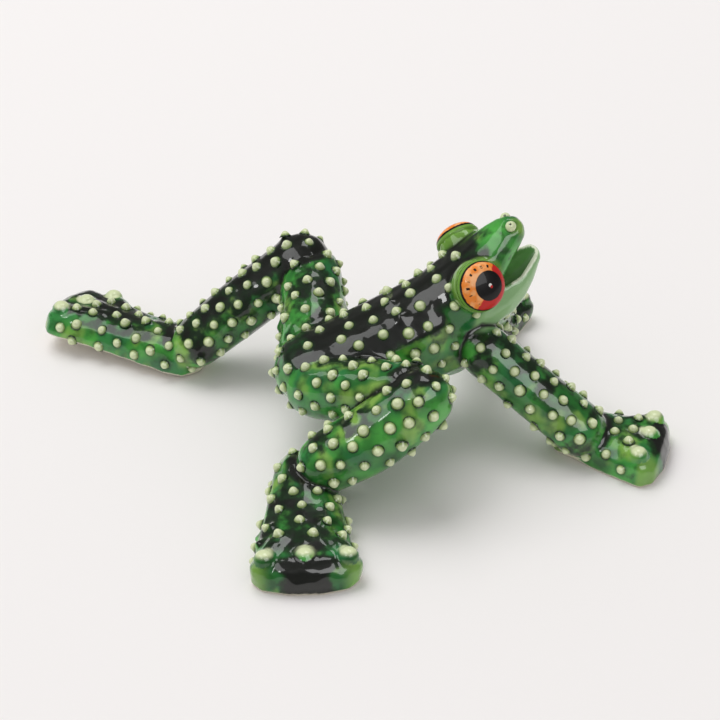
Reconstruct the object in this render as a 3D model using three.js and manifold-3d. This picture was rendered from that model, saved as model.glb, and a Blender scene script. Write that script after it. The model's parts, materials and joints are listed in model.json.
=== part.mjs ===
// Glazed stoneware frog, crawling with its head raised and its mouth open. It is built from luted clay
// pieces: a hollow torso, a head and a spoon-shaped lower jaw, domed eyes in raised lids, and legs of
// bent coils that end in flat fan-shaped feet with three toes. Rows of small slip dots cover everything
// except the face.
// Millimetres. The frog faces +X, its left is +Y, +Z is up, and its soles stand on z = 0. Lengths below
// are measured from the floor under the torso's middle, and at the end the whole frog is moved so that the
// origin lies under the middle of its overall box.
import * as THREE from "three";
import { LoftGeometry } from "three/addons/geometries/LoftGeometry.js";
import { mergeVertices } from "three/addons/utils/BufferGeometryUtils.js";
import Module from "manifold-3d";

const wasm = await Module();
wasm.setup();

// ---- Driving dimensions ---------------------------------------------------------------------------------
const GAP = 0.3; // clearance between two luted pieces
const SIDES = 12; // facets round a coil
const RINGS = 5; // stretches along a coil
const DOME_RINGS = 2; // steps in the domed end of a coil
const EYE_SIDES = 18; // facets round an eye
const BEAD_SIDES = 10; // facets round a toe pad or a nostril

const TORSO_WALL = 4;
const VENT_RADIUS = 2.5; // firing vent in the belly
const VENT_X = -6;

// Each eye is a thick lens, set in a ball of clay whose front is cut off to make the lid. The two
// differ a little.
const EYES = {
  left: {
    centre: [21.6, 12, 46.8],
    axis: [-0.2, 0.86, 0.47],
    radius: 5.9,
    nostril: [31.3, 2.8, 56.7],
  },
  right: {
    centre: [20.4, -11.4, 46.7],
    axis: [0.16, -0.86, 0.48],
    radius: 6.5,
    nostril: [30.8, -2.7, 57.4],
  },
};
const EYE_DEPTH = 3.2; // half the thickness of an eye
const LID_WIDTH = 0.6; // how far the lid's ball stands out beyond the eye
const LID_SINK = 2; // how far the middle of the lid's ball lies behind the eye's middle
const LID_EDGE = 0.3; // how far the lid's cut front lies behind the eye's middle
const NOSTRIL_RADIUS = 1.4;

const TOE_WIDTH = 3.5; // half the width of a toe ridge
const TOE_HEIGHT = 4.4; // half the height of a toe ridge
const TOE_DROOP = 0.5; // how far a toe's tip lies below its root
const PAD_RADIUS = 2.7; // the pellet at the end of each toe
const PAD_CENTRE_Z = 6.6;

const DOT_PITCH = 5.5; // spacing of the slip dots, along and round a coil
const DOT_RADIUS = 2; // at the buried foot of a dot
const DOT_HEIGHT = 1.6; // above the skin
const DOT_ROOT = 0.6; // below the skin
const DOT_SIDES = 6;
const DOT_CLEARANCE = 4.3; // nearest that two dots stand
const DOT_LOWEST = 2.6; // no dot is nearer the floor
const DOT_STEEPEST = -0.55; // no dot faces down further than this share of straight down
const BARE_TOES = 3.5; // no dot on a foot is nearer the line of its toes

// ---- Glazes ---------------------------------------------------------------------------------------------
const GLOSS = { roughness: 0.15, metalness: 0 };
const glaze = (color) => new THREE.MeshStandardMaterial({ color, ...GLOSS });
const GREEN = glaze(0x2f7d3c);
const SAGE = glaze(0x8fb886);
const LEAF = glaze(0x6f9c3a);
const ORANGE = glaze(0xee7a2e);
const PALE = glaze(0xc9dfa4);

// ---- Solids ---------------------------------------------------------------------------------------------
function solid(geometry) {
  const bare = new THREE.BufferGeometry();
  bare.setAttribute("position", geometry.getAttribute("position"));
  bare.setIndex(geometry.index);
  const merged = mergeVertices(bare, 1e-4);
  return new wasm.Manifold(
    new wasm.Mesh({
      numProp: 3,
      vertProperties: new Float32Array(merged.attributes.position.array),
      triVerts: new Uint32Array(merged.index.array),
    }),
  );
}

function geometryOf(manifold) {
  const { vertProperties, triVerts, numProp } = manifold.getMesh();
  const position = new Float32Array((vertProperties.length / numProp) * 3);
  for (let i = 0; i < position.length / 3; i++) {
    position.set(vertProperties.subarray(i * numProp, i * numProp + 3), i * 3);
  }
  const geometry = new THREE.BufferGeometry();
  geometry.setAttribute("position", new THREE.BufferAttribute(position, 3));
  geometry.setIndex(new THREE.BufferAttribute(new Uint32Array(triVerts), 1));
  geometry.computeVertexNormals();
  return geometry;
}

const cut = (body, ...tools) => tools.reduce((rest, tool) => rest.subtract(tool), body);
const join = (body, ...others) => others.reduce((whole, other) => whole.add(other), body);
const UP = new THREE.Vector3(0, 0, 1);
const Y_AXIS = new THREE.Vector3(0, 1, 0); // what three.js builds its round shapes about

// The matrix that sets a round shape at a point with its axis along `axis`.
function placed(point, axis, scale = new THREE.Vector3(1, 1, 1)) {
  return new THREE.Matrix4().compose(point, new THREE.Quaternion().setFromUnitVectors(Y_AXIS, axis), scale);
}

// An ellipsoid that is round about its axis: `across` is its radius and `deep` its half thickness.
function pellet(centre, axis, across, deep = across, sides = BEAD_SIDES) {
  const matrix = placed(centre, axis, new THREE.Vector3(across, deep, across));
  return solid(new THREE.SphereGeometry(1, sides, sides / 2).applyMatrix4(matrix));
}

// ---- Coils ----------------------------------------------------------------------------------------------
// A coil is a rolled piece of clay. Its stations are [x, y, z, half width, half height]. A smooth curve
// runs through them, and both ends are domed. `square` sets how boxy its section is, and 2 is a true
// ellipse.
class Coil {
  constructor(stations, { up = UP, grow = 0, square = 2, endDepth = null } = {}) {
    this.stations = stations;
    this.shape = { up, grow, square, endDepth };
    const curve = (points) => new THREE.CatmullRomCurve3(points, false, "centripetal");
    this.path = curve(stations.map((s) => new THREE.Vector3(s[0], s[1], s[2])));
    this.size = curve(stations.map((s) => new THREE.Vector3(s[3], s[4], 0)));
  }

  changed(shape) {
    return new Coil(this.stations, { ...this.shape, ...shape });
  }

  turned(matrix) {
    const stations = this.stations.map(([x, y, z, w, h]) => {
      return [...new THREE.Vector3(x, y, z).applyMatrix4(matrix).toArray(), w, h];
    });
    const up = this.shape.up.clone().transformDirection(matrix);
    return new Coil(stations, { ...this.shape, up });
  }

  frame(t) {
    const centre = this.path.getPoint(t);
    const along = this.path.getTangent(t);
    const side = new THREE.Vector3().crossVectors(along, this.shape.up).normalize();
    const rise = new THREE.Vector3().crossVectors(side, along).normalize();
    const size = this.size.getPoint(t);
    return { centre, along, side, rise, w: size.x + this.shape.grow, h: size.y + this.shape.grow };
  }

  // The way out of the coil at an angle round it, as a vector from its centre line to its skin.
  reach({ side, rise, w, h }, angle) {
    const c = Math.cos(angle);
    const s = Math.sin(angle);
    const n = this.shape.square;
    const k = (Math.abs(c) ** n + Math.abs(s) ** n) ** (-1 / n);
    return side.clone().multiplyScalar(-w * k * c).addScaledVector(rise, h * k * s);
  }

  ring(t, shrink = 1, shift = 0) {
    const frame = this.frame(t);
    const points = [];
    for (let i = 0; i < SIDES; i++) {
      const out = this.reach(frame, (i / SIDES) * 2 * Math.PI);
      points.push(frame.centre.clone().addScaledVector(frame.along, shift).addScaledVector(out, shrink));
    }
    return points;
  }

  solid(rings = RINGS) {
    const depthAt = (t) => Math.min(this.frame(t).w, this.frame(t).h);
    const endDepth = this.shape.endDepth ? this.shape.endDepth + this.shape.grow : depthAt(1);
    const domeAngle = (i) => ((i + 0.5) / (DOME_RINGS + 0.5)) * (Math.PI / 2);
    const sections = [];
    for (let i = 0; i < DOME_RINGS; i++) {
      sections.push(this.ring(0, Math.sin(domeAngle(i)), -depthAt(0) * Math.cos(domeAngle(i))));
    }
    for (let i = 0; i <= rings; i++) sections.push(this.ring(i / rings));
    for (let i = DOME_RINGS - 1; i >= 0; i--) {
      sections.push(this.ring(1, Math.sin(domeAngle(i)), endDepth * Math.cos(domeAngle(i))));
    }
    return solid(new LoftGeometry(sections, { capStart: true, capEnd: true }));
  }

  grown(gap = GAP) {
    return this.changed({ grow: gap }).solid();
  }
}

// ---- Torso and head -------------------------------------------------------------------------------------
const torsoCoil = new Coil([
  [-22, 0, 21, 10, 9],
  [-12, 0, 22, 12, 11],
  [2, 0, 26, 12.5, 12],
  [14, 0, 29.5, 11.5, 14.4],
], { square: 2.3 });
const backward = { up: new THREE.Vector3(-1, 0, 0.3) };
const headCoil = new Coil([
  [16, 0, 36, 11, 10.5],
  [22, 0, 43.5, 10.5, 7.2],
  [27.5, 0, 50.5, 7.3, 5],
  [31.2, 0, 54.2, 4.9, 4.2],
], backward);
const jawCoil = new Coil([
  [20, 0, 34, 9.5, 8],
  [27, 0, 37.3, 9.6, 7.6],
  [33.2, 0, 42, 7.8, 5.3],
  [37.8, 0, 46.3, 3.8, 2.2],
], backward);

// The mouth is a wedge right across the face, and a pocket that hollows the palate and the spoon of the
// jaw.
const mouthWedge = new THREE.Shape([
  new THREE.Vector2(28.3, 42.6),
  new THREE.Vector2(46, 54.8),
  new THREE.Vector2(40, 63),
]);
const mouthWidth = 40;
const mouthPocket = new Coil([
  [26, 0, 40.3, 6.6, 3],
  [31, 0, 44.4, 7.1, 3.8],
  [36.2, 0, 48.4, 3.9, 2.8],
], backward);
const mouth = join(
  solid(new THREE.ExtrudeGeometry(mouthWedge, { depth: mouthWidth, bevelEnabled: false })
    .translate(0, 0, -mouthWidth / 2)
    .rotateX(Math.PI / 2)),
  mouthPocket.solid(),
);

// ---- Legs -----------------------------------------------------------------------------------------------
// A foot is a fan-shaped slab, cut flat below, with a ridge and a pellet for each of its three toes.
// The left hind foot is not quite flat on the floor: it rests on its heel and its inner corner.
const FOOT = { square: 2.6, endDepth: 4.5 };
const LEFT_FOOT_HEEL = new THREE.Vector3(-46, 39, 0);
const LEFT_FOOT_HEADING = new THREE.Vector3(-0.68, 0.73, 0).normalize();
const LEFT_FOOT_PITCH = THREE.MathUtils.degToRad(3.6);
const LEFT_FOOT_ROLL = THREE.MathUtils.degToRad(11);

function tiltAbout(pivot, heading, pitch, roll) {
  const across = new THREE.Vector3(heading.y, -heading.x, 0);
  return new THREE.Matrix4()
    .makeTranslation(pivot)
    .multiply(new THREE.Matrix4().makeRotationAxis(across, pitch))
    .multiply(new THREE.Matrix4().makeRotationAxis(heading, roll))
    .multiply(new THREE.Matrix4().makeTranslation(pivot.clone().negate()));
}

const LEGS = {
  right_thigh: new Coil([
    [-22, -6, 20, 8, 8],
    [-12, -15, 23, 8.2, 8.2],
    [-2, -25, 27, 7.5, 7.5],
  ]),
  right_shank: new Coil([
    [-0.5, -28.3, 27.2, 7.9, 8.1],
    [-13, -29, 18.7, 8.4, 8.5],
    [-25, -28, 12.3, 7.7, 7.5],
  ]),
  right_arm: new Coil([
    [21.8, -9.7, 26.2, 6.7, 6.7],
    [32.5, -18.3, 17.1, 7, 6.6],
    [44, -26.5, 7.2, 7.8, 6.5],
  ]),
  left_thigh: new Coil([
    [-20, 6, 20, 8.5, 8],
    [-15.5, 20, 25, 8.6, 8],
    [-12.5, 34, 29, 8, 7.4],
  ]),
  left_shank: new Coil([
    [-14, 37.5, 30.5, 7.6, 7.6],
    [-30, 38.5, 18.8, 7.5, 7.6],
    [-44.5, 38.5, 8.4, 7.2, 6.6],
  ]),
  left_arm: new Coil([
    [21.5, 9.5, 26.5, 6.8, 6.6],
    [31, 19.5, 17.6, 7, 6.6],
    [38.5, 29.5, 8, 6.8, 6],
  ]),
};
const FEET = {
  right_hind_foot: {
    slab: [
      [-30, -24, 3, 7.8, 10],
      [-33, -36, 2, 9.9, 8],
      [-36, -47.5, 1.5, 11.9, 7],
      [-38.3, -57, 1, 13, 6.8],
    ],
    toes: [[-47.6, -53.6], [-37.9, -55.4], [-27.8, -58]],
  },
  right_hand: {
    slab: [
      [44.5, -23, 2.5, 6.8, 7.5],
      [52, -28.4, 1.5, 10, 6.8],
      [60.7, -34.2, 1, 13.3, 6.8],
    ],
    toes: [[54.4, -40.5], [60.4, -33.2], [64.4, -27.2]],
  },
  left_hind_foot: {
    slab: [
      [-49.2, 41.6, 3, 7.8, 7.8],
      [-57, 49.4, 2.3, 8.4, 7],
      [-65.5, 58.8, 1.5, 10.3, 6.7],
      [-73.8, 67.6, 1, 12.6, 6.8],
    ],
    toes: [[-79.2, 61.2], [-71.3, 65.2], [-63, 68.2]],
    tilt: tiltAbout(LEFT_FOOT_HEEL, LEFT_FOOT_HEADING, LEFT_FOOT_PITCH, LEFT_FOOT_ROLL),
  },
  left_hand: {
    slab: [
      [37, 28.5, 2.5, 6.8, 7.5],
      [40.5, 35.2, 1.5, 9, 6.4],
      [44, 41.2, 1, 10.6, 6.4],
    ],
    toes: [[50.4, 36.8], [44.5, 41], [37.4, 44.2]],
  },
};

const BENCH_SIZE = 300;
const benchShape = new THREE.BoxGeometry(BENCH_SIZE, BENCH_SIZE, BENCH_SIZE);
benchShape.translate(0, 0, -BENCH_SIZE / 2);
const bench = solid(benchShape);

function foot({ slab, toes, tilt = new THREE.Matrix4() }) {
  const coil = new Coil(slab, FOOT);
  const knuckle = coil.path.getPoint(0.45);
  const upward = UP.clone().transformDirection(tilt);
  const ridges = toes.map(([x, y]) => {
    const tip = new THREE.Vector3(x, y, TOE_HEIGHT - TOE_DROOP);
    const start = new THREE.Vector3(x, y, TOE_HEIGHT).lerp(knuckle, 0.6).setZ(TOE_HEIGHT);
    return new Coil([start, tip].map((p) => [...p, TOE_WIDTH, TOE_HEIGHT])).turned(tilt).solid(3);
  });
  const pads = toes.map(([x, y]) => {
    const centre = new THREE.Vector3(x, y, PAD_CENTRE_Z).applyMatrix4(tilt);
    return { body: pellet(centre, upward, PAD_RADIUS), socket: pellet(centre, upward, PAD_RADIUS + GAP) };
  });
  const turned = coil.turned(tilt);
  const tiltedBench = solid(benchShape.clone().applyMatrix4(tilt));
  const body = cut(join(turned.solid(), ...ridges), tiltedBench, bench);
  const heading = coil.path.getPoint(1).sub(coil.path.getPoint(0)).setZ(0).normalize();
  const toeLine = Math.min(...toes.map(([x, y]) => heading.dot(new THREE.Vector3(x, y, 0))));
  const keep = (p) => heading.dot(p) < toeLine - BARE_TOES;
  return { coil: turned, pads, body, keep };
}

// ---- Slip dots ------------------------------------------------------------------------------------------
// A repeatable hand wobble between -1 and 1.
const wobble = (i) => 2 * THREE.MathUtils.euclideanModulo(Math.sin(i * 12.9898 + 4.1) * 43758.5453, 1) - 1;

const dotSpots = [];
const raycaster = new THREE.Raycaster();

function dot(point, outward) {
  const height = DOT_HEIGHT + DOT_ROOT;
  const cone = new THREE.ConeGeometry(DOT_RADIUS, height, DOT_SIDES).translate(0, height / 2 - DOT_ROOT, 0);
  return solid(cone.applyMatrix4(placed(point, outward)));
}

// Dots stand in staggered rings along a coil, on the skin that `body` shows outside it.
function dotted(body, coil, neighbours, { from = 0, to = 1, keep = () => true } = {}) {
  const skin = new THREE.Mesh(geometryOf(body));
  const length = coil.path.getLength() * (to - from);
  const rows = Math.max(1, Math.round(length / (DOT_PITCH * 0.9)));
  let whole = body;
  for (let row = 0; row <= rows; row++) {
    const t = from + ((to - from) * row) / rows;
    const frame = coil.frame(t);
    const around = 2 * Math.PI * Math.sqrt((frame.w ** 2 + frame.h ** 2) / 2);
    const count = Math.round(around / DOT_PITCH);
    for (let i = 0; i < count; i++) {
      const seed = row * 31 + i * 7 + length;
      const angle = ((i + (row % 2) / 2 + 0.1 * wobble(seed)) / count) * 2 * Math.PI;
      const out = coil.reach(frame, angle);
      const outward = out.clone().normalize();
      const aim = frame.centre.clone().addScaledVector(frame.along, 0.5 * wobble(seed + 3));
      raycaster.set(aim.addScaledVector(out, 3), outward.clone().negate());
      const hit = raycaster.intersectObject(skin)[0];
      if (!hit) continue;
      const normal = hit.face.normal;
      const facing = outward.clone().add(normal).normalize();
      if (hit.point.z < DOT_LOWEST || facing.z < DOT_STEEPEST) continue;
      if (normal.dot(outward) < 0.5 || !keep(hit.point)) continue;
      if (dotSpots.some((spot) => spot.distanceTo(hit.point) < DOT_CLEARANCE)) continue;
      const drop = dot(hit.point, facing);
      if (neighbours.some((other) => !other.intersect(drop).isEmpty())) continue;
      dotSpots.push(hit.point);
      whole = whole.add(drop);
    }
  }
  return whole;
}

// ---- Assembly -------------------------------------------------------------------------------------------
const frog = new THREE.Group();
function piece(name, body, material) {
  const mesh = new THREE.Mesh(geometryOf(body), material);
  mesh.name = name;
  frog.add(mesh);
}

// What stands between `point` and a long way out along `axis`.
function halfSpace(point, axis) {
  return solid(new THREE.BoxGeometry(40, 20, 40).translate(0, 10, 0).applyMatrix4(placed(point, axis)));
}

function eyeParts({ centre, axis, radius, nostril }) {
  const middle = new THREE.Vector3(...centre);
  const outward = new THREE.Vector3(...axis).normalize();
  const behind = (depth) => middle.clone().addScaledVector(outward, -depth);
  const lidBall = (gap) => {
    const reach = radius + LID_WIDTH + gap;
    return pellet(behind(LID_SINK), outward, reach, reach, EYE_SIDES);
  };
  const nostrilMiddle = new THREE.Vector3(...nostril);
  return {
    eye: pellet(middle, outward, radius, EYE_DEPTH, EYE_SIDES),
    socket: pellet(middle, outward, radius + GAP, EYE_DEPTH + GAP, EYE_SIDES),
    lid: cut(lidBall(0), halfSpace(behind(LID_EDGE), outward)),
    lidGrown: lidBall(GAP),
    nostril: pellet(nostrilMiddle, UP, NOSTRIL_RADIUS),
    nostrilSocket: pellet(nostrilMiddle, UP, NOSTRIL_RADIUS + GAP),
  };
}

const torsoGrown = torsoCoil.grown();
const headGrown = headCoil.grown();
const jawGrown = jawCoil.grown();
const { left, right } = { left: eyeParts(EYES.left), right: eyeParts(EYES.right) };
const faceSockets = [left, right].flatMap(({ socket, nostrilSocket }) => [socket, nostrilSocket]);
const bodies = {
  torso: torsoCoil.solid(),
  head: cut(headCoil.solid(), torsoGrown, mouth, ...faceSockets),
  lower_jaw: cut(jawCoil.solid(), headGrown, torsoGrown, mouth, left.lidGrown, right.lidGrown),
};
const dotCoils = { torso: torsoCoil, head: headCoil, ...LEGS };
const behindEyes = (p) => p.x + p.z < 68 && p.z > 40;
const dotLimits = { head: { from: 0.1, to: 0.4, keep: behindEyes } };
const padsOf = {};
for (const [side, { eye, socket, lid, nostril }] of Object.entries({ left, right })) {
  bodies[side + "_eyelid"] = cut(lid, socket, headGrown, torsoGrown);
  piece(side + "_eye", eye, ORANGE);
  piece(side + "_nostril", nostril, PALE);

  const thigh = LEGS[side + "_thigh"];
  const shank = LEGS[side + "_shank"];
  const arm = LEGS[side + "_arm"];
  bodies[side + "_thigh"] = cut(thigh.solid(), torsoGrown, shank.grown());
  bodies[side + "_shank"] = cut(shank.solid(), bench);
  bodies[side + "_arm"] = cut(arm.solid(), torsoGrown, headGrown, jawGrown, bench);
  for (const [name, limb] of [[side + "_hind_foot", shank], [side + "_hand", arm]]) {
    const { coil, pads, body, keep } = foot(FEET[name]);
    bodies[name] = cut(body, limb.grown(), ...pads.map((pad) => pad.socket));
    dotCoils[name] = coil;
    dotLimits[name] = { keep };
    padsOf[name] = pads;
  }
}
for (const [name, pads] of Object.entries(padsOf)) {
  pads.forEach((pad, i) => piece(`${name}_toe_pad_${i + 1}`, pad.body, PALE));
}

const padSockets = Object.values(padsOf).flat().map((pad) => pad.socket);
const GLAZES = { lower_jaw: SAGE, left_eyelid: LEAF, right_eyelid: LEAF };
const vent = solid(new THREE.CylinderGeometry(VENT_RADIUS, VENT_RADIUS, 16, 12).rotateX(Math.PI / 2));
const torsoHollow = join(torsoCoil.grown(-TORSO_WALL), vent.translate([VENT_X, 0, 12]));
for (const [name, body] of Object.entries(bodies)) {
  const others = Object.keys(bodies).filter((other) => other !== name).map((other) => bodies[other]);
  const neighbours = [...others, ...padSockets, ...faceSockets];
  const whole = name in dotCoils ? dotted(body, dotCoils[name], neighbours, dotLimits[name]) : body;
  piece(name, name === "torso" ? cut(whole, torsoHollow) : whole, GLAZES[name] ?? GREEN);
}

const middle = new THREE.Box3().setFromObject(frog).getCenter(new THREE.Vector3());
frog.position.set(-middle.x, -middle.y, 0);

export default frog;
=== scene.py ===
"""Looks of a hand-built glazed ceramic frog: a skin of pooled green glaze over luted clay, pale slip dots,
painted eyes and a spoon-shaped jaw, on a plain pale floor."""

import json
import math

import bmesh
import bpy
import numpy as np
from mathutils import Matrix, Vector
from mathutils.bvhtree import BVHTree
from mathutils.kdtree import KDTree


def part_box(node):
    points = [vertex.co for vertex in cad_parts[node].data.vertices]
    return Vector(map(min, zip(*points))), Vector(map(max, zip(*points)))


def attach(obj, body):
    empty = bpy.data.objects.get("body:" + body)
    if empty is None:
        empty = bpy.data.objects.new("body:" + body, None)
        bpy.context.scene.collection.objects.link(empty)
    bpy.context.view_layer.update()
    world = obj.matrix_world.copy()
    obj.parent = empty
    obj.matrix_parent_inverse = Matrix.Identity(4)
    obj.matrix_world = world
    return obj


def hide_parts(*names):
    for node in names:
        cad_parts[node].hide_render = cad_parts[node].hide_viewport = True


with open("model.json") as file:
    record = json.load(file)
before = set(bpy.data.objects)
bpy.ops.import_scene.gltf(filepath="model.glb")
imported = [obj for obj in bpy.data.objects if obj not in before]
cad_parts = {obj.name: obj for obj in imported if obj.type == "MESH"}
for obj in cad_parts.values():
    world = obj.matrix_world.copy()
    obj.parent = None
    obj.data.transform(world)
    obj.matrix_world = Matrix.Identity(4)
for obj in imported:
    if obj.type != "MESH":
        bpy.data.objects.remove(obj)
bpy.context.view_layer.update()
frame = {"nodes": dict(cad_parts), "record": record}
RNG = np.random.default_rng(7)

# ---- Dimensions, in metres -----------------------------------------------------------------------
MM = 0.001

# In the frame a slip dot is a cone.
CONE_SIDES = 6
CONE_RADIUS = 2 * MM  # at its buried foot
CONE_HEIGHT = 1.6 * MM  # above the clay
CONE_ROOT = 0.6 * MM  # below it
CONE_EDGE = math.hypot(CONE_RADIUS, CONE_HEIGHT + CONE_ROOT)
TIP_ANGLE = CONE_SIDES * 2 * math.asin(CONE_RADIUS * math.sin(math.pi / CONE_SIDES) / CONE_EDGE)
TIP_TOLERANCE = 0.15

# Here it is a rounded drop. The profile is in parts of its radius and height.
DOT_RADIUS = 1.3 * MM
DOT_HEIGHT = 1.4 * MM
DOT_PROFILE = [(1.3, -0.2), (1.08, 0.04), (0.9, 0.28), (0.72, 0.56), (0.5, 0.8), (0.26, 0.95), (0, 1)]
DOT_SIDES = 14
DOT_SPREAD = 0.12  # how much larger or smaller than this a dot may be
DOT_STRETCH = 0.1  # how much taller or flatter
DOT_LEAN = 0.12  # how far it may lean, for each axis

# Dots also fill the bare seams, and stand this clear of each other and of what stays smooth.
DOT_SPACING = 4.9 * MM
DOT_CLEAR = {
    "floor": 3 * MM,
    "crease": 2.6 * MM,
    "eye": 2.4 * MM,
    "toe pad": 2.2 * MM,
    "jaw": 3 * MM,
    "toe line": 3.5 * MM,
    "face": 1 * MM,
}
DOT_STEEPEST = -0.45  # no filling dot faces down further than this share of straight down

FUSED_VOXEL = 0.45 * MM
FUSED_PASSES = 3
FLOOR_GAP = 0.02 * MM  # lowest that the clay reaches
FAR = 9 * MM  # distances between pieces are measured up to here
NECK_PASSES = 24
MOUTH_DEPTH = 14 * MM  # skin of the face that has other skin this close ahead is inside the mouth
MOUTH_START = 0.4 * MM  # nearer skin doesn't count
LID_BLEND = 2 * MM  # how far the leaf green runs out from the rim of an eye
JAW_BLEND = 3.5 * MM  # how far the jaw's colour runs into the cheek
DARK_BLEND = 3 * MM  # how far the darkness of a piece runs into its neighbour
FOOT_BLEND = 7 * MM  # the same for a foot

# How each clay piece is rounded before all are fused: voxel size, smoothing passes, growth.
SOFT = (0.8 * MM, 14, 0.5 * MM)
FLAT = (0.6 * MM, 7, 0.35 * MM)
FINE = (0.4 * MM, 6, 0.22 * MM)
THIN = (0.4 * MM, 6, 0)

SIDES = ("left", "right")
LIMBS = [f"{side}_{part}" for side in SIDES for part in ("thigh", "shank", "arm")]
FEET = [f"{side}_{part}" for side in SIDES for part in ("hind_foot", "hand")]
TOES = (1, 2, 3)
PADS = [f"{foot}_toe_pad_{toe}" for foot in FEET for toe in TOES]
LIDS = [f"{side}_eyelid" for side in SIDES]
SKIN = {
    **{name: SOFT for name in ["torso"] + LIMBS},
    **{name: FLAT for name in FEET},
    **{name: FINE for name in ["head", "lower_jaw"] + PADS},
    **{name: THIN for name in LIDS},
}
NAMES = list(SKIN)
# Where two pieces are smoothed into one: their names, how wide the smoothed seam is, and how strongly.
NECKS = [
    (["torso"], ["head", "lower_jaw"], 4 * MM, 1.0),
    (["head"], ["lower_jaw"], 2 * MM, 0.6),
    (["torso"], ["left_thigh", "right_thigh"], 3.5 * MM, 1.0),
    (["head", "torso"], LIDS, 3.4 * MM, 1.0),
    (["left_shank"], ["left_hind_foot"], 4 * MM, 1.0),
    (["right_arm"], ["right_hand"], 4 * MM, 1.0),
    (["left_arm"], ["left_hand"], 4 * MM, 1.0),
    (FEET, PADS, 1.2 * MM, 0.5),
]
# Where the glaze is black in the crease between two pieces: pooled glaze and painted shade.
CREASES = [
    (["right_shank"], ["right_thigh", "right_hind_foot"]),
    (["left_shank"], ["left_thigh"]),
    (["right_arm", "left_arm"], ["torso", "head", "lower_jaw"]),
]
# How dark the glaze is on each piece: on its back, and all over.
DARKNESS = {
    "torso": (0, 0.02),
    "head": (0, 0.12),
    "left_shank": (0.6, 0.5),
    "left_thigh": (0.3, 0.22),
    "left_arm": (0.5, 0.25),
    "left_hand": (0.6, 0.5),
    "left_hind_foot": (1.25, -0.65),
    "right_shank": (0.85, -0.05),
    "right_thigh": (0.8, -0.3),
    "right_arm": (0.5, 0.2),
    "right_hand": (0.35, 0.08),
    "right_hind_foot": (0.5, 0.08),
}
SPINE_DARKNESS = 1.1  # of the trunk's back, less what is taken off towards the snout and the tail
SNOUT_FADE = 0.9
TAIL_FADE = 0.5
TOE_DARKNESS = 1.2  # of the end of a foot, below its middle toe
TOE_GLOW = 0.6  # of its corners

# The ways that the eyes face: forward, left and up.
EYE_AXES = {"left": Vector((-0.2, 0.86, 0.47)), "right": Vector((0.16, -0.86, 0.48))}
NOSTRIL_TILT = (-0.3, 0.45, 0.8)  # the way a nostril's hole faces, mirrored on the right
NOSTRIL_DEPTH = 0.25  # of its radius
LENS_FLARE = 0.05  # how far the hidden back of an eye spreads to close its cup
SLOTS = {row["node"]: row["material_slot"] for row in frame["record"]["subparts"]}


# ---- Colours -------------------------------------------------------------------------------------
def srgb(red, green, blue):
    def linear(c):
        c /= 255
        return c / 12.92 if c <= 0.04045 else ((c + 0.055) / 1.055) ** 2.4

    return (linear(red), linear(green), linear(blue), 1)


BLACK_GLAZE = srgb(17, 21, 14)
DARK_GREEN = srgb(16, 50, 16)
MID_GREEN = srgb(34, 108, 38)
BRIGHT_GREEN = srgb(80, 176, 68)
YELLOW_GREEN = srgb(146, 188, 82)
LEAF = srgb(110, 158, 60)
TEAL = srgb(26, 112, 66)
SAGE = srgb(152, 194, 138)
# the jaw's sage darkened, as painted shade inside the mouth
SAGE_SHADED = srgb(84, 134, 70)
RIM = srgb(232, 238, 214)
MINT = srgb(220, 230, 184)
MINT_DEEP = srgb(140, 164, 96)
CLAY = srgb(232, 226, 206)
ORANGE = srgb(244, 138, 44)
# pale orange of the painted sheen on the iris
ORANGE_SHEEN = srgb(252, 178, 112)
RED = srgb(200, 28, 26)
# the white of the painted highlight in the pupil
INK = srgb(14, 12, 12)
HIGHLIGHT_WHITE = srgb(240, 238, 232)
PAPER = srgb(241, 238, 237)

# Patches in the green glaze: colour, noise scale and detail, where the patch starts and is full, strength.
BROAD, SMALL = (70, 2), (260, 4)
PATCHES = [
    (BRIGHT_GREEN, BROAD, (0.38, 0.62), 1.0),
    (TEAL, (88, 2), (0.48, 0.62), 0.6),
    (YELLOW_GREEN, (125, 2), (0.5, 0.68), 0.75),
    (DARK_GREEN, SMALL, (0.48, 0.7), 0.5),
]
# What breaks up the edge of the dark glaze: noise, and how strongly.
DARK_EDGE = [(BROAD, 1.7), (SMALL, 1.1)]
# Where the darkness turns the glaze dark green and then black.
DARK_STAGES = [(DARK_GREEN, 0.25, 0.6), (BLACK_GLAZE, 0.5, 0.85)]
RING_STRENGTH = 0.55  # of the dark glaze that pools round a slip dot

# What is painted on an eye, in parts of its radius.
PUPIL_SIZE = 0.6
PUPIL_SHIFT = 0.12  # forward from the middle
# The white and the red fleck in the pupil are a painted highlight.
PUPIL_HIGHLIGHT = (PUPIL_SHIFT + 0.02, 0.02, 0.0725, 0.0125)  # forward, up, radius, blur
PUPIL_RED_HIGHLIGHT = (PUPIL_SHIFT + 0.07, -0.05, 0.06, 0.01)
RED_WAY = (0.88, -0.47)  # the side on which the iris is red: forward and up
RED_EDGE = 0.05  # how far out that starts
DASHES = 17
DASH_WIDTH = 0.16  # of the turn from one dash to the next, to each side
DASH_BAND = (0.71, 0.82)
OUTLINE = 0.95
LEAF_BELOW = 0.11  # below this height the lens is in the cup's green


# ---- Node helpers --------------------------------------------------------------------------------
def put(tree, socket, value):
    """Gives a node's input a value: another node's socket, a number or a colour."""
    if isinstance(value, bpy.types.NodeSocket):
        tree.links.new(value, socket)
    else:
        socket.default_value = value


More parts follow.
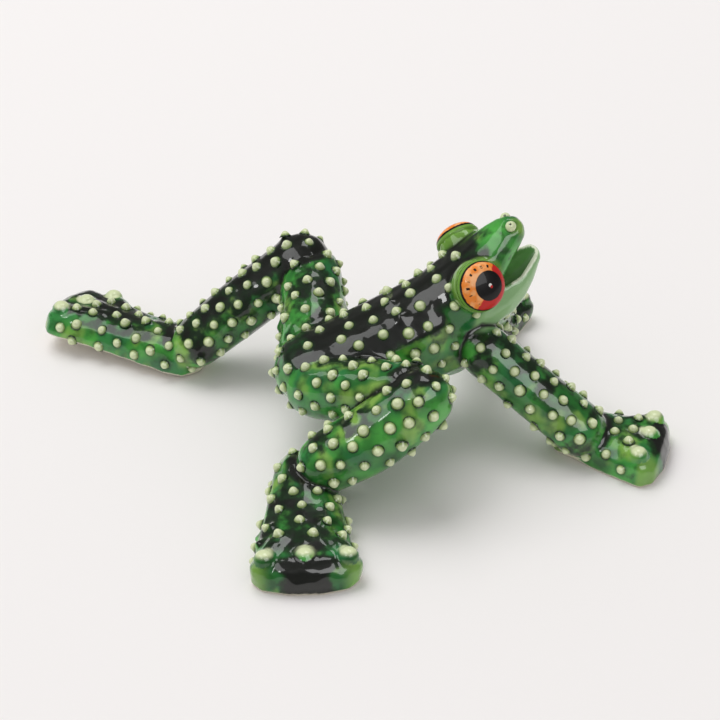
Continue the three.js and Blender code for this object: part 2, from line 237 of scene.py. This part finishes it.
class Graph:
    """A material built from small node helpers, whose inputs can be sockets, numbers or colours."""

    def __init__(self, name):
        self.material = bpy.data.materials.new(name)
        self.material.use_nodes = True
        self.tree = self.material.node_tree
        self.shader = self.tree.nodes["Principled BSDF"]

    def put(self, socket, value):
        put(self.tree, socket, value)

    def math(self, operation, a, b=0.0):
        node = self.tree.nodes.new("ShaderNodeMath")
        node.operation = operation
        self.put(node.inputs[0], a)
        self.put(node.inputs[1], b)
        return node.outputs[0]

    def add(self, a, b):
        return self.math("ADD", a, b)

    def minus(self, a, b):
        return self.math("SUBTRACT", a, b)

    def times(self, a, b):
        return self.math("MULTIPLY", a, b)

    def step(self, value, low, high):
        node = self.tree.nodes.new("ShaderNodeMapRange")
        node.interpolation_type = "SMOOTHSTEP"
        self.put(node.inputs["Value"], value)
        self.put(node.inputs["From Min"], low)
        self.put(node.inputs["From Max"], high)
        return node.outputs[0]

    def above(self, value, edge, blur):
        return self.step(value, edge - blur, edge + blur)

    def below(self, value, edge, blur):
        return self.step(value, edge + blur, edge - blur)

    def mix(self, share, a, b):
        node = self.tree.nodes.new("ShaderNodeMix")
        node.data_type = "RGBA"
        self.put(node.inputs[0], share)
        self.put(node.inputs[6], a)
        self.put(node.inputs[7], b)
        return node.outputs[2]

    def attribute(self, name):
        node = self.tree.nodes.new("ShaderNodeAttribute")
        node.attribute_name = name
        return node.outputs["Fac"]

    def split(self, name):
        node = self.tree.nodes.new("ShaderNodeAttribute")
        node.attribute_name = name
        parts = self.tree.nodes.new("ShaderNodeSeparateXYZ")
        self.tree.links.new(node.outputs["Vector"], parts.inputs[0])
        return parts.outputs

    def noise(self, scale, detail=2.0):
        place = self.tree.nodes.new("ShaderNodeTexCoord")
        node = self.tree.nodes.new("ShaderNodeTexNoise")
        node.inputs["Scale"].default_value = scale
        node.inputs["Detail"].default_value = detail
        self.tree.links.new(place.outputs["Object"], node.inputs["Vector"])
        return node.outputs[0]

    def swayed(self, value, noise, strength):
        """The value, moved up and down by a noise about its middle."""
        return self.add(value, self.times(self.minus(noise, 0.5), strength))

    def bump(self, height, strength, distance):
        node = self.tree.nodes.new("ShaderNodeBump")
        node.inputs["Strength"].default_value = strength
        node.inputs["Distance"].default_value = distance
        self.tree.links.new(height, node.inputs["Height"])
        self.put(self.shader.inputs["Normal"], node.outputs[0])
        self.put(self.shader.inputs["Coat Normal"], node.outputs[0])

    def glaze(self, colour, roughness, coat=1.0):
        self.put(self.shader.inputs["Base Color"], colour)
        self.put(self.shader.inputs["Roughness"], roughness)
        self.put(self.shader.inputs["Specular IOR Level"], 0.2)
        self.put(self.shader.inputs["Coat Weight"], coat)
        self.put(self.shader.inputs["Coat Roughness"], 0.035)
        return self.material


# ---- Materials -----------------------------------------------------------------------------------
def glaze_material():
    """Green glaze in patches, darkened and bared by the values that the skin's points carry."""
    g = Graph("green_glaze")
    colour = MID_GREEN
    for patch, noise, (start, full), strength in PATCHES:
        colour = g.mix(g.times(g.step(g.noise(*noise), start, full), strength), colour, patch)
    shade = g.attribute("dorsal")
    for noise, strength in DARK_EDGE:
        shade = g.swayed(shade, g.noise(*noise), strength)
    for stage, start, full in DARK_STAGES:
        colour = g.mix(g.step(shade, start, full), colour, stage)
    colour = g.mix(g.times(g.attribute("ring"), RING_STRENGTH), colour, DARK_GREEN)
    colour = g.mix(g.attribute("glow"), colour, YELLOW_GREEN)
    colour = g.mix(g.attribute("leaf"), colour, LEAF)
    colour = g.mix(g.attribute("pad"), colour, MINT)
    # Inside the mouth the jaw's sage is darkened as painted shade.
    colour = g.mix(g.attribute("sage"), colour, g.mix(g.attribute("mouth_shade"), SAGE, SAGE_SHADED))
    colour = g.mix(g.attribute("rim"), colour, RIM)
    # Painted shade and pooled glaze: black in the creases between pieces.
    colour = g.mix(g.attribute("crease"), colour, BLACK_GLAZE)
    bare = g.attribute("clay")
    colour = g.mix(bare, colour, CLAY)
    g.bump(g.noise(210, detail=1), strength=0.7, distance=0.45 * MM)
    return g.glaze(colour, roughness=0.35, coat=g.minus(1.0, bare))


def slip_material():
    """A slip dot is pale at its tip and dark where glaze pools round its foot. A nostril's pit is painted
    black: painted shade in its hole.
    """
    g = Graph("pale_slip")
    tip = g.attribute("tip")
    colour = g.mix(g.step(tip, 0.15, 0.62), MINT_DEEP, MINT)
    colour = g.mix(g.step(tip, 0.16, 0.0), colour, DARK_GREEN)
    # Painted shade: the nostril's pit is black.
    colour = g.mix(g.attribute("pit"), colour, INK)
    return g.glaze(colour, roughness=0.3)


def eye_material():
    """The iris is painted on the plane across the eye: x runs forward, y runs up and z out of the eye."""
    g = Graph("eye_glaze")
    x, y, z = g.split("eye")

    def radius(forward=0.0, up=0.0):
        across = g.minus(x, forward)
        along = g.minus(y, up)
        return g.math("SQRT", g.add(g.times(across, across), g.times(along, along)))

    def spot(colour, paint, forward, up, size, blur):
        return g.mix(g.below(radius(forward, up), size, blur), colour, paint)

    r = radius()
    # Pale orange patches on the iris are painted sheen.
    painted_sheen = g.step(g.noise(420), 0.42, 0.62)
    towards_front = g.add(g.times(x, RED_WAY[0]), g.times(y, RED_WAY[1]))
    red = g.above(g.swayed(towards_front, g.noise(500), 0.25), RED_EDGE, 0.03)
    colour = g.mix(red, g.mix(painted_sheen, ORANGE, ORANGE_SHEEN), RED)

    turns = g.times(g.math("ARCTAN2", y, x), DASHES / (2 * math.pi))
    across_dash = g.math("ABSOLUTE", g.minus(g.math("FRACT", turns), 0.5))
    dash = g.times(g.below(across_dash, DASH_WIDTH, 0.03), g.above(g.noise(900), 0.41, 0.03))
    dash_r = g.swayed(r, g.noise(300, 0), 0.12)
    band = g.times(g.above(dash_r, DASH_BAND[0], 0.01), g.below(dash_r, DASH_BAND[1], 0.01))
    colour = g.mix(g.times(g.times(dash, band), g.minus(1.0, red)), colour, INK)

    outline = g.above(g.swayed(r, g.noise(1300), 0.05), OUTLINE, 0.005)
    colour = g.mix(outline, colour, INK)
    colour = g.mix(g.below(z, LEAF_BELOW, 0.03), colour, LEAF)
    pupil = g.swayed(radius(PUPIL_SHIFT), g.noise(700), 0.04)
    colour = g.mix(g.below(pupil, PUPIL_SIZE, 0.012), colour, INK)
    # Painted highlight in the pupil: a white fleck and a red one.
    colour = spot(colour, HIGHLIGHT_WHITE, *PUPIL_HIGHLIGHT)
    colour = spot(colour, RED, *PUPIL_RED_HIGHLIGHT)
    return g.glaze(colour, roughness=0.45, coat=0.3)


def paper_material():
    g = Graph("paper")
    g.put(g.shader.inputs["Base Color"], PAPER)
    g.put(g.shader.inputs["Roughness"], 0.9)
    g.bump(g.noise(900, detail=4), strength=0.05, distance=0.2 * MM)
    return g.material


GREEN_GLAZE = glaze_material()
PALE_SLIP = slip_material()
EYE_GLAZE = eye_material()
FLOOR_PAPER = paper_material()


# ---- Helpers -------------------------------------------------------------------------------------
def smoothstep(value, low, high):
    share = np.clip((value - low) / (high - low), 0, 1)
    return share * share * (3 - 2 * share)


def fade(value, low, high):
    """1 up to `low`, falling to 0 at `high`."""
    return 1 - smoothstep(value, low, high)


def middle_and_half(node):
    """The middle of a node's box, and half its size along each axis."""
    low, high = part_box(node)
    return (low + high) / 2, (high - low) / 2


def middle_of(node):
    return middle_and_half(node)[0]


def work_mesh(points, faces):
    mesh = bpy.data.meshes.new("work")
    mesh.from_pydata([tuple(p) for p in points], [], faces)
    return mesh


def vertex_arrays(mesh):
    points = np.zeros(len(mesh.vertices) * 3, np.float32)
    normals = np.zeros(len(mesh.vertices) * 3, np.float32)
    mesh.vertices.foreach_get("co", points)
    mesh.vertices.foreach_get("normal", normals)
    return points.reshape(-1, 3).astype(float), normals.reshape(-1, 3).astype(float)


def tree_of(points, faces):
    return BVHTree.FromPolygons([tuple(p) for p in points], faces)


def add_object(name, points, faces, material, normals=None, **attributes):
    mesh = bpy.data.meshes.new(name)
    mesh.from_pydata([tuple(p) for p in points], [], [tuple(int(i) for i in f) for f in faces])
    mesh.polygons.foreach_set("use_smooth", np.ones(len(faces), bool))
    for key, values in attributes.items():
        values = np.asarray(values, np.float32)
        if values.ndim == 2:
            mesh.attributes.new(key, "FLOAT_VECTOR", "POINT").data.foreach_set("vector", values.ravel())
        else:
            mesh.attributes.new(key, "FLOAT", "POINT").data.foreach_set("value", values)
    if normals is not None:
        mesh.normals_split_custom_set_from_vertices([tuple(n) for n in normals])
    mesh.materials.append(material)
    made = bpy.data.objects.new(name, mesh)
    bpy.context.scene.collection.objects.link(made)
    return made


def add_piece(name, slot, *args, replaces=None, **kwargs):
    """A visible piece of the frog. It shows in place of the node `replaces`, if that is given."""
    made = add_object(name, *args, **kwargs)
    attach(made, "root")
    if replaces:
        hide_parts(replaces)


def remeshed(points, faces, voxel, passes):
    """The surface rebuilt from voxels and smoothed: its points, normals and faces."""
    work = bpy.data.objects.new("work", work_mesh(points, faces))
    bpy.context.scene.collection.objects.link(work)
    remesh = work.modifiers.new("remesh", "REMESH")
    remesh.mode = "VOXEL"
    remesh.voxel_size = voxel
    smooth = work.modifiers.new("smooth", "SMOOTH")
    smooth.factor = 0.5
    smooth.iterations = passes
    result = bpy.data.meshes.new_from_object(work.evaluated_get(bpy.context.evaluated_depsgraph_get()))
    bpy.data.objects.remove(work)
    points, normals = vertex_arrays(result)
    return points, normals, [tuple(p.vertices) for p in result.polygons]


def turned_shape(profile, sides):
    """Points and faces of a profile of (radius, height) turned about Z. It ends on the axis."""
    points, faces = [], []
    for radius, height in profile[:-1]:
        for i in range(sides):
            angle = 2 * math.pi * i / sides
            points.append((radius * math.cos(angle), radius * math.sin(angle), height))
    points.append((0, 0, profile[-1][1]))
    for ring in range(len(profile) - 2):
        for i in range(sides):
            a, b = ring * sides + i, ring * sides + (i + 1) % sides
            faces.append((a, b, b + sides, a + sides))
    last = (len(profile) - 2) * sides
    faces += [(last + i, last + (i + 1) % sides, len(points) - 1) for i in range(sides)]
    faces.append(tuple(range(sides))[::-1])
    return np.array(points), faces


def ball_shape(sides, rings):
    angles = [math.pi * (i + 0.5) / rings for i in range(rings)]
    return turned_shape([(math.sin(a), -math.cos(a)) for a in angles] + [(0, 1)], sides)


# ---- The clay pieces -----------------------------------------------------------------------------
def without_dots(node):
    """The points and faces of a node's clay without its slip dots, and each dot's foot and direction."""
    work = bmesh.new()
    work.from_mesh(frame["nodes"][node].data)
    bmesh.ops.remove_doubles(work, verts=work.verts, dist=0.002 * MM)
    work.normal_update()
    tips = []
    for vert in work.verts:
        angle = sum(loop.calc_angle() for loop in vert.link_loops)
        sides = {tuple(round(c, 2) for c in loop.face.normal) for loop in vert.link_loops}
        if abs(angle - TIP_ANGLE) > TIP_TOLERANCE or len(sides) != CONE_SIDES:
            continue
        turned = [loop.face.normal * loop.calc_angle() for loop in vert.link_loops]
        outward = sum(turned, Vector()).normalized()
        tips.append((vert, vert.co - outward * CONE_HEIGHT, outward))
    for vert, foot, _ in tips:
        vert.co = foot
    points = np.array([v.co for v in work.verts])
    faces = [tuple(v.index for v in f.verts) for f in work.faces]
    work.free()
    return points, faces, [(foot, outward) for _, foot, outward in tips]


clay = {node: without_dots(node) for node in NAMES}
trees = {node: tree_of(points, faces) for node, (points, faces, _) in clay.items()}

# ---- The fused skin ------------------------------------------------------------------------------
soft_points, soft_faces = [], []
for node, (voxel, passes, growth) in SKIN.items():
    points, normals, faces = remeshed(clay[node][0], clay[node][1], voxel, passes)
    first = sum(len(p) for p in soft_points)
    soft_points.append(points + normals * growth)
    soft_faces += [tuple(i + first for i in face) for face in faces]
skin_points, _, skin_faces = remeshed(np.concatenate(soft_points), soft_faces, FUSED_VOXEL, FUSED_PASSES)

edges = [(face[i - 1], face[i]) for face in skin_faces for i in range(len(face))]
skin_edges = np.unique(np.sort(np.array(edges), axis=1), axis=0)
neighbour_count = np.bincount(skin_edges.ravel(), minlength=len(skin_points))


def neighbour_mean(values):
    """The mean over each vertex's neighbours of an array with one row per vertex."""
    total = np.zeros_like(values)
    for column in range(values.shape[1]):
        total[:, column] = np.bincount(skin_edges[:, 0], values[skin_edges[:, 1], column], len(values))
        total[:, column] += np.bincount(skin_edges[:, 1], values[skin_edges[:, 0], column], len(values))
    return total / neighbour_count[:, None]


def spread(values, passes):
    """One value per vertex, blended with those of its neighbours."""
    values = values[:, None]
    for _ in range(passes):
        values = 0.5 * values + 0.5 * neighbour_mean(values)
    return values[:, 0]


def distance_to(node):
    distance = np.full(len(skin_points), FAR)
    low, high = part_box(node)
    near = np.all((skin_points > np.array(low) - FAR) & (skin_points < np.array(high) + FAR), axis=1)
    for i in np.flatnonzero(near):
        found = trees[node].find_nearest(Vector(skin_points[i]), FAR)
        if found[0] is not None:
            distance[i] = found[3]
    return distance


# How far each vertex of the skin lies from each clay piece, and the piece that it belongs to.
reach = np.array([distance_to(node) for node in NAMES])
owner = np.argmin(reach, axis=0)


def reach_of(*nodes):
    return reach[[NAMES.index(node) for node in nodes]].min(axis=0)


def seam_reach(these, those):
    """How far each vertex lies from the seam between two groups of pieces."""
    return np.maximum(reach_of(*these), reach_of(*those))


def owned_by(*nodes):
    return np.isin(owner, [NAMES.index(node) for node in nodes])


seams = np.zeros(len(skin_points))
for these, those, width, strength in NECKS:
    seams = np.maximum(seams, strength * fade(seam_reach(these, those), 0.4 * width, width))
for _ in range(NECK_PASSES):
    skin_points += 0.5 * seams[:, None] * (neighbour_mean(skin_points) - skin_points)
skin_points[:, 2] = np.maximum(skin_points[:, 2], FLOOR_GAP)
_, skin_normals = vertex_arrays(work_mesh(skin_points, skin_faces))
skin_tree = tree_of(skin_points, skin_faces)

# ---- Where the glaze is dark, pale or bare, and where shade is painted ---------------------------
height = skin_points[:, 2]
up = skin_normals[:, 2]
is_foot = owned_by(*FEET)
is_trunk = owned_by("torso", "head", "lower_jaw", *LIDS)
crease_reach = np.full(len(skin_points), FAR)
for these, those in CREASES:
    crease_reach = np.minimum(crease_reach, seam_reach(these, those))


def in_mouth():
    """1 where something lies close in front of the skin of the head or the jaw."""
    inside = np.zeros(len(skin_points))
    for i in np.flatnonzero(owned_by("head", "lower_jaw")):
        way = Vector(skin_normals[i])
        if skin_tree.ray_cast(Vector(skin_points[i]) + way * MOUTH_START, way, MOUTH_DEPTH)[0] is not None:
            inside[i] = 1
    return inside


# How far the skin is inside the mouth or beside it, and how sharply it bulges at a rim.
# Inside the mouth the skin gets painted shade.
mouth_shade = spread(in_mouth(), 3)
beside_mouth = spread(mouth_shade, 5)
convex = ((skin_points - neighbour_mean(skin_points)) * skin_normals).sum(axis=1)
convex = neighbour_mean(convex[:, None])[:, 0]

# The back is darkest, and the dark glaze thins past the eyes and towards the tail.
near_eye = middle_of("right_eye")
past_eyes = (skin_points[:, 0] - near_eye.x) + (height - near_eye.z)
towards_snout = smoothstep(past_eyes, -2 * MM, 14 * MM)
towards_tail = smoothstep(-skin_points[:, 0], 6 * MM, 24 * MM)
spine = smoothstep(up, 0.0, 0.85) * ((1 - SNOUT_FADE * towards_snout) * (1 - TAIL_FADE * towards_tail))
dorsal = SPINE_DARKNESS * spine * is_trunk
on_back = smoothstep(up, 0.5, 1.0)
on_back[is_foot] = smoothstep(up[is_foot], 0.4, 0.95)
for node, (back_darkness, darkness) in DARKNESS.items():
    blend = FOOT_BLEND if node in FEET else DARK_BLEND
    weight = fade(reach_of(node) - reach.min(axis=0), 0, blend)
    if node == "torso":
        weight *= past_eyes < -4 * MM
    dorsal += (back_darkness * on_back + darkness) * weight

# The end of a foot is dark below its middle toe and bright at its corners, and its toe pads are pale on top.
glow = np.zeros(len(skin_points))
pad = np.zeros(len(skin_points))
past_toes = np.full(len(skin_points), -FAR)
for foot in FEET:
    pads = [f"{foot}_toe_pad_{toe}" for toe in TOES]
    first, second, third = (np.array(middle_of(name)) for name in pads)
    half_span = np.linalg.norm(third - first) / 2
    outward = np.cross(third - first, (0, 0, 1))
    outward /= np.linalg.norm(outward)
    outward *= np.sign(outward @ (second - np.array(middle_of(foot))))
    ahead = (skin_points - (first + third) / 2) @ outward
    sideways = np.abs((skin_points - second) @ (third - first)) / (2 * half_span)
    mine = owned_by(foot)
    past_toes[mine] = ahead[mine]

    end = mine * smoothstep(ahead, 0, 1.5 * MM) * fade(height, 6 * MM, 9 * MM)
    corner = end * smoothstep(sideways, 0.8 * half_span, 1.2 * half_span)
    dorsal += TOE_DARKNESS * end * fade(sideways, 0.2 * half_span, half_span)
    dorsal -= corner
    glow = np.maximum(glow, TOE_GLOW * corner)

    facing = smoothstep(skin_normals @ (0.9 * np.array((0, 0, 1)) - 0.44 * outward), 0.1, 0.7)
    for name in pads:
        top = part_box(name)[1].z
        on_top = smoothstep(height, top - 1.4 * MM, top - 0.6 * MM)
        pad = np.maximum(pad, facing * on_top * fade(reach_of(name), 0.5 * MM, 0.95 * MM))


def outside_eye(node):
    """How far each vertex lies outside the ball round an eye."""
    middle, half = middle_and_half(node)
    return np.linalg.norm(skin_points - np.array(middle), axis=1) - max(half)


eye_reach = np.minimum(outside_eye("left_eye"), outside_eye("right_eye"))

# ---- Where the slip dots stand -------------------------------------------------------------------
dots = []
for node in NAMES:
    for foot, outward in clay[node][2]:
        hit, normal, _, _ = skin_tree.find_nearest(foot + outward * MM)
        dots.append((node, hit, (outward + normal * 2).normalized()))


def distance_to_dots():
    lookup = KDTree(len(dots))
    for i, (_, foot, _) in enumerate(dots):
        lookup.insert(foot, i)
    lookup.balance()
    return np.array([lookup.find(Vector(p))[2] for p in skin_points])


# Dots also fill the seams that two clay pieces left bare, the barest spot first.
to_dot = distance_to_dots()
bare = (to_dot > DOT_SPACING) & (up > DOT_STEEPEST) & (height > DOT_CLEAR["floor"])
bare &= (crease_reach > DOT_CLEAR["crease"]) & (eye_reach > DOT_CLEAR["eye"])
bare &= (reach_of(*PADS) > DOT_CLEAR["toe pad"]) & (past_toes < -DOT_CLEAR["toe line"])
bare &= (reach_of("lower_jaw") > DOT_CLEAR["jaw"]) & ~owned_by("lower_jaw", *LIDS, *PADS)
bare &= ~is_trunk | (past_eyes < -DOT_CLEAR["face"])
for i in np.flatnonzero(bare)[np.argsort(-to_dot[bare], kind="stable")]:
    place = Vector(skin_points[i])
    if all((place - foot).length > DOT_SPACING for _, foot, _ in dots):
        dots.append((NAMES[owner[i]], place, Vector(skin_normals[i])))

# ---- The skin's pieces ---------------------------------------------------------------------------
lips = smoothstep(beside_mouth, 0.02, 0.1) * (past_eyes > 6 * MM)
skin_values = {
    "dorsal": dorsal,
    "ring": fade(distance_to_dots(), 1.2 * MM, 2.3 * MM),
    # painted shade and pooled glaze in the creases between pieces
    "crease": fade(crease_reach, 0.5 * MM, 1.7 * MM),
    "leaf": fade(eye_reach, 0.7 * MM, LID_BLEND),
    "glow": glow,
    "pad": pad,
    "sage": fade(reach_of("lower_jaw"), 0.5 * MM, JAW_BLEND),
    # painted shade inside the mouth
    "mouth_shade": mouth_shade,
    "rim": smoothstep(convex, 0.016 * MM, 0.03 * MM) * lips,
    "clay": np.where(height < 0.4 * MM, 1.0, smoothstep(-up, 0.22, 0.42) * is_foot),
}

face_owner = np.array([owner[face[0]] for face in skin_faces])
for index, node in enumerate(NAMES):
    chosen = [skin_faces[i] for i in np.flatnonzero(face_owner == index)]
    used = np.unique(np.concatenate([np.array(f) for f in chosen]))
    renumber = {old: new for new, old in enumerate(used)}
    faces = [tuple(renumber[i] for i in face) for face in chosen]
    values = {key: all_values[used] for key, all_values in skin_values.items()}
    add_piece(node + "_skin", SLOTS[node], skin_points[used], faces, GREEN_GLAZE, replaces=node,
              normals=skin_normals[used], **values)

# ---- Slip dots -----------------------------------------------------------------------------------
dot_points, dot_faces = turned_shape(DOT_PROFILE, DOT_SIDES)
dot_tips = np.clip(dot_points[:, 2], 0, 1)


def dot_at(foot, outward):
    size = RNG.uniform(1 - DOT_SPREAD, 1 + DOT_SPREAD)
    lean = Vector(RNG.uniform(-DOT_LEAN, DOT_LEAN, 3))
    turn = (outward + lean).to_track_quat("Z", "Y").to_matrix().to_4x4()
    wide = DOT_RADIUS * size
    tall = DOT_HEIGHT * size * RNG.uniform(1 - DOT_STRETCH, 1 + DOT_STRETCH)
    matrix = np.array(Matrix.Translation(foot) @ turn @ Matrix.Diagonal((wide, wide, tall, 1)))
    return dot_points @ matrix[:3, :3].T + matrix[:3, 3]


for node in NAMES:
    drops = [dot_at(foot, outward) for home, foot, outward in dots if home == node]
    if drops:
        starts = [k * len(dot_points) for k in range(len(drops))]
        faces = [tuple(start + i for i in face) for start in starts for face in dot_faces]
        tips = np.tile(dot_tips, len(drops))
        add_piece(node + "_slip_dots", "pale_slip", np.concatenate(drops), faces, PALE_SLIP,
                  tip=tips, pit=np.zeros(len(tips)))

# ---- Nostrils and eyes ---------------------------------------------------------------------------
ball_points, ball_faces = ball_shape(32, 20)
for side in SIDES:
    node = side + "_nostril"
    middle, half = middle_and_half(node)
    hole = Vector(NOSTRIL_TILT).normalized()
    hole.y = math.copysign(hole.y, middle.y)
    # The pit is dented and painted black, as painted shade in the hole.
    pit = smoothstep(ball_points @ np.array(hole), 0.955, 0.985)
    points = ball_points * max(half) * (1 - NOSTRIL_DEPTH * pit)[:, None] + np.array(middle)
    add_piece(node + "_glazed", SLOTS[node], points, ball_faces, PALE_SLIP, replaces=node,
              tip=np.ones(len(points)), pit=pit)

eye_points, eye_faces = ball_shape(72, 48)
for side, axis in EYE_AXES.items():
    node = side + "_eye"
    middle = middle_of(node)
    outward = axis.normalized()
    corners = np.array([v.co for v in frame["nodes"][node].data.vertices]) - np.array(middle)
    along = corners @ np.array(outward)
    depth = np.abs(along).max()
    width = np.linalg.norm(corners - np.outer(along, outward), axis=1).max()
    forward = (Vector((1, 0, 0)) - outward * outward.x).normalized()
    upward = Vector((0, 0, 1)) - outward * outward.z
    upward = (upward - forward * upward.dot(forward)).normalized()
    basis = np.array([forward, upward, outward])
    mirrored = np.linalg.det(basis) < 0
    flare = 1 + LENS_FLARE * smoothstep(-eye_points[:, 2], -0.1, 0.15)
    points = (eye_points * flare[:, None] * np.array([width, width, depth])) @ basis + np.array(middle)
    faces = [face[::-1] for face in eye_faces] if mirrored else eye_faces
    add_piece(node + "_glazed", SLOTS[node], points, faces, EYE_GLAZE, replaces=node, eye=eye_points)

# ---- Stage ---------------------------------------------------------------------------------------
FLOOR_REACH = 3.0
FLOOR_DEPTH = 0.05 * MM  # just below the soles
CORNERS = ((-1, -1), (1, -1), (1, 1), (-1, 1))
floor_points = [(x * FLOOR_REACH, y * FLOOR_REACH, -FLOOR_DEPTH) for x, y in CORNERS]
add_object("floor", floor_points, [(0, 1, 2, 3)], FLOOR_PAPER)


def area_light(name, direction, distance, size, power, shows=True, lights=True):
    """A softbox aimed at the frog. It may show in the gloss, light the clay, or both."""
    light = bpy.data.lights.new(name, "AREA")
    light.shape = "RECTANGLE"
    light.size, light.size_y = size
    light.energy = power
    made = bpy.data.objects.new(name, light)
    made.location = Vector(direction).normalized() * distance
    made.rotation_mode = "QUATERNION"
    made.rotation_quaternion = Vector(direction).to_track_quat("Z", "Y")
    made.visible_glossy = shows
    made.visible_diffuse = lights
    bpy.context.scene.collection.objects.link(made)


area_light("key_softbox", (-0.22, 0.5, 1.0), 3.0, (2.3, 1.8), 53, shows=False)
area_light("left_softbox", (-0.5, 0.02, 0.85), 0.9, (0.8, 0.45), 2.6, lights=False)
area_light("front_softbox", (0.22, -0.66, 0.7), 0.9, (0.7, 0.5), 3.9, lights=False)
area_light("top_softbox", (0.2, 0.3, 0.95), 0.9, (0.4, 0.3), 1.3, lights=False)
area_light("glint", (-0.65, -0.45, 0.75), 0.9, (0.1, 0.14), 0.5, lights=False)

# The room lights the clay evenly, shows only dimly in its gloss, and looks as pale as the paper.
AMBIENT, AMBIENT_GLOSS, AMBIENT_SEEN = 0.58, 0.12, 0.88
world = bpy.data.worlds.new("studio")
world.use_nodes = True
tree = world.node_tree
background = tree.nodes["Background"]
background.inputs["Color"].default_value = (1.0, 0.99, 0.985, 1)  # a little warm
rays = tree.nodes.new("ShaderNodeLightPath")


def by_ray(ray, strength, otherwise):
    """One strength for this kind of ray, and another for the rest."""
    node = tree.nodes.new("ShaderNodeMapRange")
    put(tree, node.inputs["Value"], rays.outputs[ray])
    put(tree, node.inputs["To Max"], strength)
    put(tree, node.inputs["To Min"], otherwise)
    return node.outputs[0]


room = by_ray("Is Camera Ray", AMBIENT_SEEN, by_ray("Is Glossy Ray", AMBIENT_GLOSS, AMBIENT))
put(tree, background.inputs["Strength"], room)
bpy.context.scene.world = world
bpy.context.scene.view_settings.view_transform = "Standard"

# ---- Camera --------------------------------------------------------------------------------------
VIEW_AZIMUTH, VIEW_ELEVATION = math.radians(-16), math.radians(35)
VIEW_DISTANCE = 560 * MM
VIEW_TARGET = Vector((7.1, 22.6, 0)) * MM
towards_camera = Vector((
    math.sin(VIEW_AZIMUTH) * math.cos(VIEW_ELEVATION),
    -math.cos(VIEW_AZIMUTH) * math.cos(VIEW_ELEVATION),
    math.sin(VIEW_ELEVATION),
))
lens = bpy.data.cameras.new("camera")
lens.lens = 100
lens.clip_start = 0.01
camera = bpy.data.objects.new("camera", lens)
camera.location = VIEW_TARGET + towards_camera * VIEW_DISTANCE
camera.rotation_mode = "QUATERNION"
camera.rotation_quaternion = towards_camera.to_track_quat("Z", "Y")
bpy.context.scene.collection.objects.link(camera)
bpy.context.scene.camera = camera
